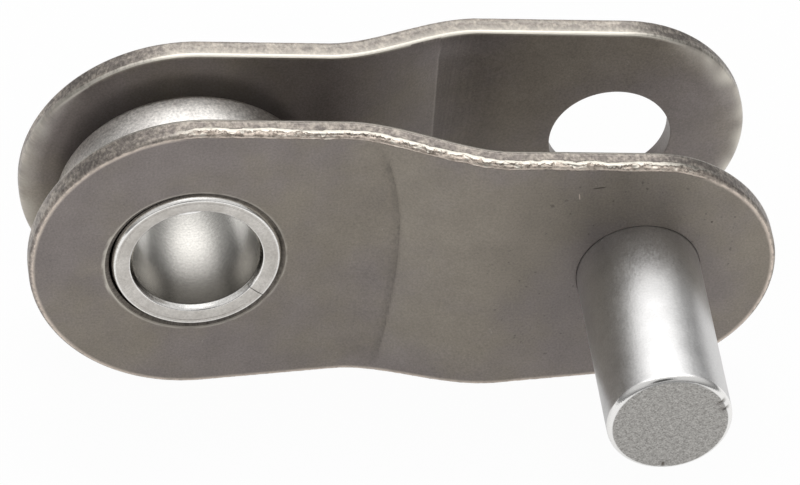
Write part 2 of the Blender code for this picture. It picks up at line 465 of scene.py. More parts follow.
def tearRim(blank, seed, share):
    # Shape the ridge, the torn band and the lip, and note where each lies for the finish
    place = blank.verts.layers.float_vector.new("rimPlace")
    torn = blank.verts.layers.float_vector.new("tornBand")
    loop = outlineLength / (2 * math.pi)
    for vert in blank.verts:
        x, height, z = vert.co
        inside, way, outward = rimPlace(x, z)
        path, lean = sectionPath(inside, height)
        spot = Vector((loop * math.cos(way / loop), loop * math.sin(way / loop), seed))
        vert[place] = (spot.x, spot.y, path)
        vert[torn] = (1, 1, 0)
        if inside > tear["depth"] or height < tear["fromHeight"]:
            continue
        lower = abs(way) - pinArc
        strength = share * span(lower, *tear["reach"]) * (1 if z > 0 else tear["belowShare"])
        wander = noise(spot * 0.8) + 0.8 * noise(spot * 2.7) + 0.3 * noise(spot * 8)
        ridgeAt = tear["ridgeAtPin"] + (tear["ridgeAt"] - tear["ridgeAtPin"]) * smooth(0, straight, lower)
        ridgeAt += tear["ridgeWander"] * wander
        uneven = noise(spot * 2.1 + Vector((5, 0, 0)))
        lipAt = tear["lipAt"] + tear["lipWander"] * uneven * (0.4 + strength)
        along, past = path - ridgeAt, path - lipAt
        vert[torn] = (along, past, strength)
        coarse, fine = (noise(Vector((spot.x, spot.y, seed + path * 1.5)) * size) for size in (5, 14))
        crack = bell(along, tear["crackAt"] + 0.02 * coarse, tear["crackWidth"])
        crack *= smooth(-0.25, 0.15, noise(spot * 2.3))
        rough = smooth(0.06, 0.12, along) * smooth(0.06, 0.0, past) * (coarse + 0.6 * fine)
        rise = tear["ridgeRise"] * smooth(*tear["ridgeHalf"], abs(along)) * (1 + 0.4 * fine)
        rise = strength * (rise - tear["crackDepth"] * crack + tear["roughness"] * rough)
        rise += tear["lipRise"] * bell(past, 0, tear["lipWidth"]) * (0.1 + 0.9 * strength) * (1 + coarse)
        vert.co.x += rise * math.cos(lean) * outward[0]
        vert.co.z += rise * math.cos(lean) * outward[1]
        vert.co.y += rise * math.sin(lean)


holes = {
    "lipFrom": 0.06,  # beyond the sunk rim
    "lipTo": 0.02,
    "lipUneven": 0.035,
    "lipWider": 0.045,  # on its left
    "lipShade": 0.35,
    "lipPaler": 0.35,
    "rimShade": 0.65,
    "pinHoleShade": 0.35,
}


def wearHoles(blank, bareAndSheen, paintedShade):
    # An uneven pale lip round the sunk rim of the bushing's hole, and painted shade in the rim itself, in
    # the gap round the bushing, and on the pin hole's wall
    x, z, radius, edge, sink = plate["bushingHole"]
    for vert in blank.verts:
        away = math.hypot(vert.co.x - x, vert.co.z - z)
        toLeft = max(0, (x - vert.co.x) / away) ** 2
        reach = away - radius - sink
        if reach < edge + 0.15:
            limit = holes["lipWider"] * toLeft + holes["lipUneven"] * noise(vert.co * 3.5)
            lip = smooth(holes["lipFrom"] + limit, holes["lipTo"] + limit, reach)
            lip *= holes["lipShade"] + holes["lipPaler"] * toLeft
            vert[bareAndSheen] = lip * smooth(-0.02, 0, reach)
            # painted shade in the sunk rim, in the gap round the bushing
            vert[paintedShade] = holes["rimShade"] * smooth(0.005, -0.015, reach)
    x, z, radius, edge, sink = plate["pinHole"]
    for vert in blank.verts:
        if math.hypot(vert.co.x - x, vert.co.z - z) < radius + 1e-3:
            # painted shade on the pin hole's wall
            vert[paintedShade] = holes["pinHoleShade"]


roll = {
    "width": 0.78,
    "reach": 0.50,  # up the wall
    "least": 0.03,  # all round; the ends of the outline have more
    "pinEnd": (-0.9, -3.0),
    "bushingEnd": (3.0, 5.8),
    "patchSize": 1.7,
    "patches": (0.75, 0.9),  # mean and swing
    "pinEndMore": 0.7,
}


def rollInnerEdge(blank, bareAndSheen, depth):
    # The inner face falls away round the ends of the outline, and wears paler and patchy there
    for vert in blank.verts:
        inside, way, outward = rimPlace(vert.co.x, vert.co.z)
        height = vert.co.y
        if inside > roll["width"] or height > roll["reach"]:
            continue
        lower = abs(way) - pinArc
        atPin = smooth(*roll["pinEnd"], lower)
        ends = atPin + smooth(*roll["bushingEnd"], lower - straight)
        share = min(1 - inside / roll["width"], 1)
        fall = 1 - math.sqrt(1 - share * share)
        vert.co.y += (depth * ends + roll["least"]) * fall * (1 - height / roll["reach"])
        patch = noise(Vector((vert.co.x, vert.co.z, depth * 50)) * roll["patchSize"])
        worn = ends * (roll["patches"][0] + roll["patches"][1] * patch) * share ** 2
        worn *= smooth(0.30, 0.05, height) * min(depth * 2, 0.5) * (1 + roll["pinEndMore"] * atPin)
        vert[bareAndSheen] = max(vert[bareAndSheen], worn)


# Marks of the press tool across the bends: dents in the faces, with painted shade beside them and painted
# highlights on their other side
crease = {
    "outerAt": 5.92,  # on the flat blank, at its furthest
    "outerMiddle": 0.9,
    "outerCurveAbove": 0.058,
    "outerCurveBelow": 0.017,
    "outerDepth": 0.020,
    "outerWidth": 0.36,
    "outerStep": 0.035,
    "outerFade": (0.15, 0.9),
    # painted shade in the outer mark and on its bushing side, and a painted highlight on its pin side
    "outerFoldShade": 0.36,
    "outerShade": 3.0,  # width of the duller and the paler side
    "outerDarkSide": 0.09,
    "outerLitSide": 0.055,
    "innerAt": 7.295,
    "innerDepth": 0.07,
    "innerFade": (0.15, 1.0),
    "innerBefore": 0.95,
    "innerAfter": 2.4,
    # a painted highlight on the inner mark's bushing side and painted shade on its pin side
    "innerHighlight": 0.12,
    "innerFoldShade": 0.30,
}


def pressCreases(blank, bareAndSheen, paintedShade):
    for vert in blank.verts:
        x, height, z = vert.co
        inside = rimPlace(x, z)[0]
        if height > plate["thickness"] - 1e-3:
            fade = smooth(*crease["outerFade"], inside)
            curve = crease["outerCurveAbove"] if z > crease["outerMiddle"] else crease["outerCurveBelow"]
            off = x - crease["outerAt"] + curve * (z - crease["outerMiddle"]) ** 2
            nearShade = 1 - abs(off) / crease["outerShade"]
            if nearShade > 0 >= off:
                near = max(1 + off / crease["outerWidth"], 0) ** 2
                vert.co.y -= crease["outerDepth"] * fade * near
                # painted shade in the dent and on this side of it
                vert[paintedShade] += fade * (crease["outerFoldShade"] * near + crease["outerDarkSide"] * nearShade)
            elif nearShade > 0:
                # painted highlight on the other side
                vert[bareAndSheen] += crease["outerLitSide"] * fade * nearShade * smooth(0, 0.12, off)
            if 0 < off < crease["outerStep"]:
                vert.co.y -= crease["outerDepth"] * fade * (1 - smooth(0, crease["outerStep"], off))
        elif height < 1e-3:
            off = x - crease["innerAt"]
            depth = crease["innerDepth"] * smooth(*crease["innerFade"], inside)
            if -crease["innerBefore"] < off <= 0:
                vert.co.y += depth * (1 + off / crease["innerBefore"]) ** 1.6
                # painted highlight along the kink
                vert[bareAndSheen] = crease["innerHighlight"] * smooth(-0.10, -0.03, off) * smooth(0.3, 0.7, inside)
            elif 0 < off < crease["innerAfter"]:
                left = 1 - off / crease["innerAfter"]
                vert.co.y += depth * left
                # painted shade past the kink
                vert[paintedShade] = crease["innerFoldShade"] * left * smooth(0.05, 0.12, inside)


def bendBlank(blank, bendStart):
    # Crank the flat blank outwards, keeping its thickness square to the sheet
    offset = (plate["pinEndGap"] - plate["bushingEndGap"]) / 2
    for vert in blank.verts:
        share = min(max((vert.co.x - bendStart) / plate["bendRun"], 0), 1)
        lean = math.atan(offset * 6 * share * (1 - share) / plate["bendRun"])
        depth = vert.co.y - plate["thickness"] / 2
        vert.co.x -= depth * math.sin(lean)
        vert.co.y = offset * share * share * (3 - 2 * share) + depth * math.cos(lean)


def flatBlank():
    # What both plates start from, before the edges are torn and rolled and the crank is pressed
    blank = joined(
        sweepRim(),
        sinkHole(*plate["bushingHole"]),
        sinkHole(*plate["pinHole"]),
    )
    stations, levels = (
        [first + step * turn for first, step, count in plate[name] for turn in range(count)]
        for name in ("stations", "levels"))
    for height in (0, plate["thickness"]):
        fillFace(blank, height, stations, levels)
    bmesh.ops.remove_doubles(blank, verts=blank.verts, dist=2e-4)
    return blank


# Side of the link, start of the bend, seed, how torn the edge is, and depth of the rolled ends
sides = {
    "near_plate": {"side": -1, "bendStart": 4.15, "seed": 3.0, "torn": 1.0, "rollDepth": 0.06},
    "far_plate": {"side": 1, "bendStart": 3.98, "seed": 41.0, "torn": 0.15, "rollDepth": 0.27},
}


def sidePlate(name, flat, material):
    own = sides[name]
    blank = flat.copy()
    bareAndSheen = blank.verts.layers.float.new("bareSteelAndSheen")
    paintedShade = blank.verts.layers.float.new("paintedShade")
    wearHoles(blank, bareAndSheen, paintedShade)
    ageWall(blank, bareAndSheen, paintedShade, own["torn"])
    tearRim(blank, own["seed"], own["torn"])
    pressCreases(blank, bareAndSheen, paintedShade)
    rollInnerEdge(blank, bareAndSheen, own["rollDepth"])
    bendBlank(blank, own["bendStart"])
    bmesh.ops.translate(
        blank, verts=blank.verts, vec=(0, (plate["bushingEndGap"] + plate["thickness"]) / 2, 0))
    if own["side"] < 0:
        bmesh.ops.scale(blank, verts=blank.verts, vec=(1, -1, 1))
    addPiece(name, blank, material, "side_plates", 50)


plateFinish = {
    "face": (0.262, 0.232, 0.220),
    "warm": (0.278, 0.246, 0.206),
    "edge": (0.245, 0.215, 0.195),
    "paleEdge": (0.400, 0.355, 0.310),
    "bareAndSheen": (0.74, 0.70, 0.62),
    "torn": (0.34, 0.285, 0.24),
    "pale": (0.66, 0.57, 0.49),
    "lip": (0.88, 0.76, 0.66),
    "crack": (0.10, 0.085, 0.072),
    # the dark colour of painted shade, also given to the small pits round the pin
    "paintedShade": (0.085, 0.075, 0.065),
    "metallic": 0.69,
    "roughness": (0.37, 0.47),  # with the grain
    "bareRoughness": 0.34,
    "grainSize": 15.0,
    "mottleSize": 0.16,
    "grainShade": (0.82, 1.18),
    "cloudShade": (0.93, 1.07),
    "edgeShade": (0.66, 1.34),
    "markSwirl": (4, 4, 4),  # millimetres
    "markTurn": (0.0, 0.9, 0.0),
    "markStretch": (1.6, 26.0, 26.0),
    "markShade": 0.22,
    "edgeRelief": 1.5,
    "bump": 0.6,
    "bumpDepth": 0.000008,
}
tornFinish = {
    "wobble": (0.3, 2.9, 5.0),  # each pattern's scale across the section, size along the rim, and detail
    "jagged": (1.2, 4.2, 4.0),
    "broken": (0.3, 2.6, 2.0),
    "patches": (1.6, 6.0, 4.0),
    "wobbleReach": 0.32,  # how far a pattern moves an edge, in millimetres
    "jaggedReach": 0.42,
    "lipReach": 0.09,
    "bandFrom": (0.02, 0.06),  # past the ridge
    "bandTo": (0.05, 0.02),  # past the lip
    "paleFrom": (0.40, 0.56),
    "crack": (0.080, 0.105, 0.016),  # past the ridge, with its softness
    "crackGaps": (0.36, 0.46),
    "split": (0.455, 0.475, 0.012),  # level of the jagged pattern
    "splitGaps": (0.56, 0.46),
    "loops": (0.56, 0.60),
    "ridgeFrom": (-0.070, -0.045),
    "ridgeTo": (0.075, 0.050),
    "lip": (-0.020, 0.016, 0.012),  # past the lip's middle
    "lipGaps": (0.60, 0.42, 0.2, 0.9),
    "wornLip": (-0.02, 0.07, 0.05),  # where nothing is torn
    "wornFrom": (0.8, 0.1),
    "wornPatches": (0.35, 0.65, 0.45, 0.9),
    "under": (0.034, 0.052, 0.010),
    "underGaps": (0.62, 0.46, 0.1, 0.7),
    "faint": 0.8,
}


def edgeNoise(tree, rim, acrossScale, size, detail):
    # Noise that follows the rim, with its own scale across the section
    return noiseAt(tree, mapped(tree, rim, (1, 1, acrossScale)), size, detail, 0.6)


def movedEdge(tree, edge, pattern, reach):
    return calc(tree, "MULTIPLY_ADD", calc(tree, "SUBTRACT", pattern, 0.5), reach, edge)


def tornEdge(tree, colour, rim, finish):
    # Lay the torn band, its cracks and loops, the bright ridge and the pale lip over the given colour
    noted = attribute(tree, "tornBand", "Vector")
    along, past, strength = addNode(tree, "SeparateXYZ", {0: noted}).outputs
    wobble, jagged, broken, patches = (
        edgeNoise(tree, rim, *tornFinish[name]) for name in ("wobble", "jagged", "broken", "patches"))
    upper = movedEdge(tree, along, wobble, tornFinish["wobbleReach"])
    ragged = movedEdge(tree, upper, jagged, tornFinish["jaggedReach"])
    lipEdge = movedEdge(tree, past, patches, tornFinish["lipReach"])

    def within(value, name):
        return mapRange(tree, value, *tornFinish[name])

    def strip(value, name):
        return between(tree, value, *tornFinish[name])

    band = times(tree, within(upper, "bandFrom"), within(lipEdge, "bandTo"), strength)
    tornColour = mixColour(tree, within(patches, "paleFrom"), finish["torn"], finish["pale"])
    colour = mixColour(tree, band, colour, tornColour)
    crack = times(tree, strip(ragged, "crack"), within(broken, "crackGaps"))
    split = times(tree, strip(jagged, "split"), within(broken, "splitGaps"))
    crack = calc(tree, "MAXIMUM", crack, times(tree, split, tornFinish["faint"]))
    colour = mixColour(tree, times(tree, crack, band), colour, finish["crack"])
    loops = times(tree, within(jagged, "loops"), band)
    ridge = times(tree, within(upper, "ridgeFrom"), within(ragged, "ridgeTo"), strength)
    ridge = calc(tree, "MAXIMUM", ridge, times(tree, loops, tornFinish["faint"]))
    colour = mixColour(tree, ridge, colour, finish["bareAndSheen"])
    lip = times(tree, strip(lipEdge, "lip"), within(broken, "lipGaps"))
    worn = times(tree, strip(lipEdge, "wornLip"), within(strength, "wornFrom"))
    lip = calc(tree, "MAXIMUM", lip, times(tree, worn, within(patches, "wornPatches")))
    colour = mixColour(tree, lip, colour, finish["lip"])
    under = times(tree, strip(lipEdge, "under"), strength, within(broken, "underGaps"))
    return mixColour(tree, under, colour, finish["crack"]), ridge


# Single dents and scratches on the near plate's outer face: middle, half length and width, turn, and shade
scars = (
    ((11.32, -3.27, 3.345), (0.24, 0.030), -0.12, "crack"),
    ((10.76, -3.27, 3.03), (0.022, 0.15), -0.15, "pale"),
    ((14.70, -3.27, 1.86), (0.040, 0.045), 0.0, "crack"),
    ((14.50, -3.27, 2.18), (0.025, 0.030), 0.0, "crack"),
    ((13.89, -3.27, 3.18), (0.055, 0.020), 0.2, "crack"),
    ((15.36, -3.27, 2.02), (0.030, 0.030), 0.0, "crack"),
)


def scarMask(tree, coordinates, middle, size, turn):
    moved = vectorCalc(tree, "SUBTRACT", coordinates, middle)
    scaled = mapped(tree, moved, (size[0], 0.3, size[1]), (0, turn, 0), "TEXTURE")
    return mapRange(tree, vectorCalc(tree, "LENGTH", scaled), 1.0, 0.55)


# Painted shade and small dark pits on the near plate's outer face, round the pin and mostly on its left; the
# painted shade stands in for the pin's dark reflection and shade on the face
pinShade = {
    "middle": (pitch - 0.9, 0.2),  # X and Z
    "outerFace": (-2.8, -3.0),  # Y from which the face is shaded
    "nearPinShade": (4.5, 1.6),  # outer and inner reach
    "nearPinShadeAmount": 0.24,
    "pitSize": 5.0,
    "pitsFrom": (0.70, 0.75),
    "pits": (4.6, 3.4),
    "pitShade": 0.45,
}


def pinShadeMask(tree, coordinates):
    middle = pinShade["middle"]
    flat = vectorCalc(tree, "MULTIPLY_ADD", coordinates, (1, 0, 1), (-middle[0], 0, -middle[1]))
    away = vectorCalc(tree, "LENGTH", flat)
    # painted shade, standing in for the pin's dark reflection and shade on the face
    nearPinShade = mapRange(tree, away, *pinShade["nearPinShade"], 0.0, pinShade["nearPinShadeAmount"])
    pits = mapRange(tree, noiseAt(tree, coordinates, pinShade["pitSize"], 2.0), *pinShade["pitsFrom"])
    pits = times(tree, pits, mapRange(tree, away, *pinShade["pits"], 0.0, pinShade["pitShade"]))
    outside = mapRange(tree, axisOf(tree, coordinates, "Y"), *pinShade["outerFace"])
    return times(tree, calc(tree, "ADD", nearPinShade, pits, clamp=True), outside)


def fineMarks(tree, coordinates, finish):
    # Short fine marks that lie along one line, a little swirled, with gaps between
    swirl = noiseAt(tree, coordinates, 0.8, 1.0, output="Color")
    swirled = vectorCalc(tree, "MULTIPLY_ADD", swirl, finish["markSwirl"], coordinates)
    turned = mapped(tree, swirled, finish["markStretch"], finish["markTurn"])
    thin = mapRange(tree, noiseAt(tree, turned, 1.0, 1.0), 0.68, 0.76)
    sparse = mapRange(tree, noiseAt(tree, swirled, 2.3, 2.0), 0.52, 0.66)
    return times(tree, thin, sparse, finish["markShade"])


def plateSteel():
    finish = plateFinish
    material, tree = newMaterial("plateSteel")
    coordinates = millimetres(tree, linkCentre, (0, -taper, 0))
    grain = grainOf(tree, coordinates, finish)
    rim = attribute(tree, "rimPlace", "Vector")
    streaks = edgeNoise(tree, rim, 0.6, 11.0, 4.0)
    blotches = edgeNoise(tree, rim, 1.0, 3.5, 4.0)
    cloudy = noiseAt(tree, coordinates, 1.1, 5.0)
    bareAndSheen, paintedShade, wall = (attribute(tree, name) for name in ("bareSteelAndSheen", "paintedShade", "wall"))

    edgeColour = mixColour(tree, mapRange(tree, blotches, 0.42, 0.60), finish["edge"], finish["paleEdge"])
    edgeColour = shaded(tree, edgeColour, streaks, finish["edgeShade"], 0.15)
    colour = mixColour(tree, mapRange(tree, grain["Mottle"], 0.40, 0.62), finish["face"], finish["warm"])
    colour = shaded(tree, colour, grain["Grain"], finish["grainShade"])
    colour = shaded(tree, colour, cloudy, finish["cloudShade"])
    colour = mixColour(tree, wall, colour, edgeColour)
    colour = mixColour(tree, fineMarks(tree, coordinates, finish), colour, finish["bareAndSheen"])
    for middle, size, turn, tone in scars:
        colour = mixColour(tree, scarMask(tree, coordinates, middle, size, turn), colour, finish[tone])
    # painted shade round the pin, with small dark pits
    colour = mixColour(tree, pinShadeMask(tree, coordinates), colour, finish["paintedShade"])
    colour = mixColour(tree, bareAndSheen, colour, finish["bareAndSheen"])
    colour, ridge = tornEdge(tree, colour, rim, finish)
    # painted shade from the attribute, broken up by the streaks
    shadeShare = calc(tree, "MULTIPLY", paintedShade, mapRange(tree, streaks, 0.30, 0.62, 1.35, 0.65), clamp=True)
    colour = mixColour(tree, shadeShare, colour, finish["paintedShade"])
    # bare steel, painted highlights and the ridge are smoother and fully metallic
    worn = calc(tree, "MAXIMUM", bareAndSheen, ridge)
    rough = blend(tree, worn, roughened(tree, grain["Grain"], finish), finish["bareRoughness"])
    height = calc(tree, "MULTIPLY_ADD", times(tree, streaks, wall), finish["edgeRelief"], grain["Height"])
    metallic = mapRange(tree, worn, 0, 1, finish["metallic"], 1.0)
    return finished(material, finish, colour, rough, height, metallic)


# Bushing

bushing = {
    "bore": 3.70,
    "outside": 4.96,
    "length": 4.28,
    "edge": ((0, 0.185), (0.003, 0.168), (0.010, 0.150), (0.045, 0.080),  # insets from side and end face
             (0.076, 0.020), (0.088, 0.008), (0.105, 0.001), (0.125, 0)),
    "lineInset": 0.19,  # fine groove on the end faces
    "lineWidth": 0.05,
    "lineDepth": 0.012,
    "dish": 0.060,  # the end faces fall away towards the bore
    "seamGap": 0.003,
    "seamMouth": 0.024,  # how far the seam opens at the end faces
    "seamAngle": -35,
    "steps": 220,
}


def makeBushing(material):
    shape = bmesh.new()
    inner, outer, half = bushing["bore"] / 2, bushing["outside"] / 2, bushing["length"] / 2
    edge = bushing["edge"]
    points = [(outer - inset, fall - half) for inset, fall in reversed(edge)]
    points += [(outer - inset, half - fall) for inset, fall in edge]
    points += [(inner + inset, half - fall) for inset, fall in reversed(edge)]
    points += [(inner + inset, fall - half) for inset, fall in edge]
    line = outer - bushing["lineInset"]
    lineIn = line - bushing["lineWidth"]
    groove = [(line, half), (line - 0.02, half - bushing["lineDepth"]), (lineIn, half)]
    points[2 * len(edge):2 * len(edge)] = groove
    points += [(radius, -y) for radius, y in reversed(groove)]
    for at, (radius, y) in enumerate(points):
        share = min(max((lineIn - radius) / (lineIn - inner), 0), 1)
        share *= smooth(half - 0.3, half - 0.1, abs(y))
        points[at] = (radius, y - math.copysign(bushing["dish"] * share, y))
    seam = bushing["seamGap"] / outer
    corners = [shape.verts.new((radius, y, 0)) for radius, y in points]
    face = shape.faces.new(corners)
    start = math.radians(bushing["seamAngle"]) + seam / 2
    bmesh.ops.rotate(shape, verts=corners, matrix=Matrix.Rotation(-start, 3, "Y"))
    bmesh.ops.spin(
        shape, geom=[face], axis=(0, -1, 0), angle=2 * math.pi - seam,
        steps=bushing["steps"], use_merge=False, use_duplicate=False,
    )
    for vert in shape.verts:
        near = smooth(half - 0.25, half, abs(vert.co.y))
        turn = math.atan2(vert.co.z, vert.co.x) - math.radians(bushing["seamAngle"])
        turn = math.remainder(turn, 2 * math.pi)
        if near > 0 and abs(turn) < seam:
            opened = Matrix.Rotation(-math.copysign(near * bushing["seamMouth"] / 2 / outer, turn), 3, "Y")
            vert.co = opened @ vert.co
    bmesh.ops.remove_doubles(shape, verts=shape.verts, dist=1e-6)
    addPiece("bushing", shape, material, "side_plates", 40)


bushingFinish = {
    "steel": (0.68, 0.65, 0.61),
    "dull": (0.58, 0.55, 0.51),
    "bore": (0.70, 0.68, 0.64),
    # painted shade inside the bore towards its near mouth, where its highlight fades
    "boreMouthShade": (0.245, 0.235, 0.22),
    "boreMouthShading": (1.1, -1.0),  # Y where it starts and ends
    # painted shade: a dark ring at the outer edge, in the gap round the bushing, fading out towards the top
    "rim": (0.20, 0.185, 0.17),
    "rimShadeBelow": (1.6, 0.2),  # Z
    "boreRoughness": 0.26,
    "band": (0.95, 0.93, 0.90),
    "bandWidth": 0.11,
    "roughness": (0.26, 0.36),
    "bandRoughness": 0.15,
    "grainSize": 13.0,
    "mottleSize": 1.6,
    "grainShade": (0.87, 1.12),
    "bump": 0.4,
    "bumpDepth": 0.000006,
}


def bushingSteel():
    finish = bushingFinish
    material, tree = newMaterial("bushingSteel")
    coordinates = millimetres(tree, linkCentre)
    grain = grainOf(tree, coordinates, finish)
    radius = vectorCalc(tree, "LENGTH", vectorCalc(tree, "MULTIPLY", coordinates, (1, 0, 1)))
    inner, outer, width = bushing["bore"] / 2, bushing["outside"] / 2, finish["bandWidth"]
    inBore = mapRange(tree, radius, inner + 0.008, inner + 0.001)
    mouth = between(tree, radius, inner + 0.004, inner + width, 0.004)
    band = calc(tree, "MAXIMUM", mouth, mapRange(tree, radius, outer - width - 0.04, outer - width))
    # painted shade at the outer edge, lower down
    lowered = mapRange(tree, axisOf(tree, coordinates, "Z"), *finish["rimShadeBelow"])
    rim = times(tree, mapRange(tree, radius, outer - 0.045, outer - 0.020), lowered)
    # painted shade in the bore towards its near mouth
    mouthShade = mapRange(tree, axisOf(tree, coordinates, "Y"), *finish["boreMouthShading"])
    boreColour = mixColour(tree, mouthShade, finish["bore"], finish["boreMouthShade"])
    colour = mixColour(tree, mapRange(tree, grain["Mottle"], 0.35, 0.70), finish["steel"], finish["dull"])
    colour = mixColour(tree, inBore, colour, boreColour)
    colour = mixColour(tree, band, colour, finish["band"])
    colour = mixColour(tree, rim, colour, finish["rim"])
    rough = blend(tree, inBore, roughened(tree, grain["Mottle"], finish), finish["boreRoughness"])
    rough = blend(tree, band, rough, finish["bandRoughness"])
    colour = shaded(tree, colour, grain["Grain"], finish["grainShade"])
    return finished(material, finish, colour, rough, grain["Height"])


# Roller

roller = {
    "bore": 5.12,
    "outside": 7.75,
    "length": 2.10,
    "nearFace": -1.26,
    "edgeRound": 0.24,
    "steps": 240,
}


def ringSection(inner, outer, low, high, edge, steps):
    near, far, left, right = low + edge, high - edge, inner + edge, outer - edge
    return (
        arc((right, near), edge, -quarter, 0, steps)
        + arc((right, far), edge, 0, quarter, steps)
        + arc((left, far), edge, quarter, math.pi, steps)
        + arc((left, near), edge, math.pi, 3 * quarter, steps)
    )


def makeRoller(material):
    shape = bmesh.new()
    low, high = roller["nearFace"], roller["nearFace"] + roller["length"]
    points = ringSection(roller["bore"] / 2, roller["outside"] / 2, low, high, roller["edgeRound"], 5)
    spinRound(shape, drawSection(shape, points, closed=True), roller["steps"])
    addPiece("roller", shape, material, "roller", 40)


rollerFinish = {
    "steel": (0.80, 0.775, 0.74),
    "dull": (0.66, 0.63, 0.60),
    "roughness": (0.31, 0.41),
    "grainSize": 13.0,
    "mottleSize": 1.1,
    "grainShade": (0.70, 1.25),
    "bump": 0.6,
    "bumpDepth": 0.000008,
}


def rollerSteel():
    finish = rollerFinish
    material, tree = newMaterial("rollerSteel")
    grain = grainOf(tree, millimetres(tree, linkCentre), finish)
    colour = mixColour(tree, mapRange(tree, grain["Mottle"], 0.40, 0.70), finish["steel"], finish["dull"])
    colour = shaded(tree, colour, grain["Grain"], finish["grainShade"])
    return finished(material, finish, colour, roughened(tree, grain["Grain"], finish), grain["Height"])


# Pin

pin = {
    "diameter": 3.60,
    "length": 7.20,
    "inner": -2.42,  # Y of its inner end
    "endRound": 0.23,
    "nicks": ((30, 2.0), (20, 1.6), (-93, 3.5)),  # on the end's rim: angle and half width
    "nickDepth": 0.028,
    "faceRings": (0.02, 0.25, 0.5, 0.75, 0.9, 0.97),  # of the flat face's radius
    "steps": 240,
}


def makePin(material):
    shape = bmesh.new()
    radius, edge = pin["diameter"] / 2, pin["endRound"]
    low, high = pin["inner"] - pin["length"], pin["inner"]
    middle = radius - edge
    points = [(middle * share, low) for share in pin["faceRings"]]
    points += arc((middle, low + edge), edge, -quarter, 0, 9)
    points += [(radius, low + edge + (pin["length"] - 2 * edge) * step / 6) for step in range(1, 6)]
    points += arc((middle, high - edge), edge, 0, quarter, 9)
    points += [(middle * share, high) for share in reversed(pin["faceRings"][:4])]
    spinRound(shape, drawSection(shape, points), pin["steps"])
    bmesh.ops.holes_fill(shape, edges=[edge for edge in shape.edges if edge.is_boundary], sides=0)
    # painted shade in the nicks on the end's rim
    paintedShade = shape.verts.layers.float.new("paintedShade")
    for vert in shape.verts:
        reach = math.hypot(vert.co.x, vert.co.z)
        if vert.co.y > low + edge or reach < middle - 0.05:
            continue
        turn = math.degrees(math.atan2(vert.co.z, vert.co.x))
        nick = max(bell(math.remainder(turn - at, 360), 0, width) for at, width in pin["nicks"])
        nick *= smooth(low + edge / 2, low, vert.co.y)
        vert[paintedShade] = nick
        narrowed = 1 - pin["nickDepth"] * nick / reach
        vert.co.x *= narrowed
        vert.co.z *= narrowed
        vert.co.y += pin["nickDepth"] * nick
    bmesh.ops.translate(shape, verts=shape.verts, vec=(pitch, 0, 0))
    addPiece("pin", shape, material, "pin", 30)


pinFinish = {
    "steel": (0.73, 0.725, 0.72),
    "dull": (0.65, 0.645, 0.64),
    "round": (0.93, 0.92, 0.90),
    "endFace": (0.60, 0.585, 0.56),
    "endPits": (0.26, 0.25, 0.235),
    # dark colour of the painted shade in the nicks
    "paintedShade": (0.10, 0.085, 0.07),
    "roughness": (0.30, 0.42),
    "roundRoughness": 0.16,
    "endRoughness": 0.48,
    "grainSize": 15.0,
    "mottleSize": 0.9,
    "grainShade": (0.90, 1.10),
    "coarsePits": (9.0, 4.0, 0.8),  # size, detail and roughness
    "finePits": (27.0, 2.0, 0.7),
    "finePitShare": 0.55,
    "pitRelief": 1.5,
    "bump": 0.35,
    "bumpDepth": 0.000008,
}


def pinSteel():
    finish = pinFinish
    material, tree = newMaterial("pinSteel")
    coordinates = millimetres(tree, (pinAxis.x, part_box("pin")[0].y, pinAxis.z))
    grain = grainOf(tree, coordinates, finish)
    slanted = mapped(tree, coordinates, (0.7, 1, 1.2), (0, 0.5, 0))
    coarse, fine = (noiseAt(tree, slanted, *finish[name]) for name in ("coarsePits", "finePits"))
    pits = blend(tree, finish["finePitShare"], coarse, fine)
    fromTip = axisOf(tree, coordinates, "Y")
    endFace = mapRange(tree, fromTip, 0.02, 0.008)
    rounded = between(tree, fromTip, 0.016, pin["endRound"] * 0.85, 0.012)
    colour = mixColour(tree, mapRange(tree, grain["Mottle"], 0.4, 0.7), finish["steel"], finish["dull"])
    colour = shaded(tree, colour, grain["Grain"], finish["grainShade"])
    colour = mixColour(tree, rounded, colour, finish["round"])
    speckled = mixColour(tree, mapRange(tree, pits, 0.38, 0.62), finish["endPits"], finish["endFace"])
    colour = mixColour(tree, endFace, colour, speckled)
    rough = blend(tree, rounded, roughened(tree, grain["Grain"], finish), finish["roundRoughness"])
    height = calc(tree, "MULTIPLY_ADD", times(tree, pits, endFace), finish["pitRelief"], grain["Height"])
    rough = blend(tree, endFace, rough, finish["endRoughness"])
    # painted shade in the nicks
    colour = mixColour(tree, attribute(tree, "paintedShade"), colour, finish["paintedShade"])
    return finished(material, finish, colour, rough, height)


# Floor, light and camera

studio = {
    "floorSize": 3.0,
    "floorColour": (0.86, 0.86, 0.86),
    "floorOwnWhite": 0.965,
    "floorMirroredWhite": 0.60,
    "roomLevel": 0.60,
    "horizonLevel": 0.20,
    "skyLevel": 0.65,
    "horizon": (4, 40),  # degrees above the floor
    "glowLevel": 1.35,
    "glowFrom": (176, 64),  # azimuth and elevation
    "glow": (48, 5),  # degrees from its middle
    "shadeLevel": 0.10,
    "shade": (20, 10),  # degrees from the camera
    "boxLevel": 2.1,
    "boxSize": 0.26,
    "boxDistance": 0.30,
    "boxFrom": (168, 54),
}
camera = {
    "from": (-6.525, 42.96),
    "roll": -0.469,
    "distance": 0.20062,
    "lookAt": (0.0001212, 0.0024441, 0.0036250),
    "lens": 309.9,
}


def direction(azimuth, elevation):
    around, above = math.radians(azimuth), math.radians(elevation)
    return Vector((math.sin(around) * math.cos(above), -math.cos(around) * math.cos(above), math.sin(above)))


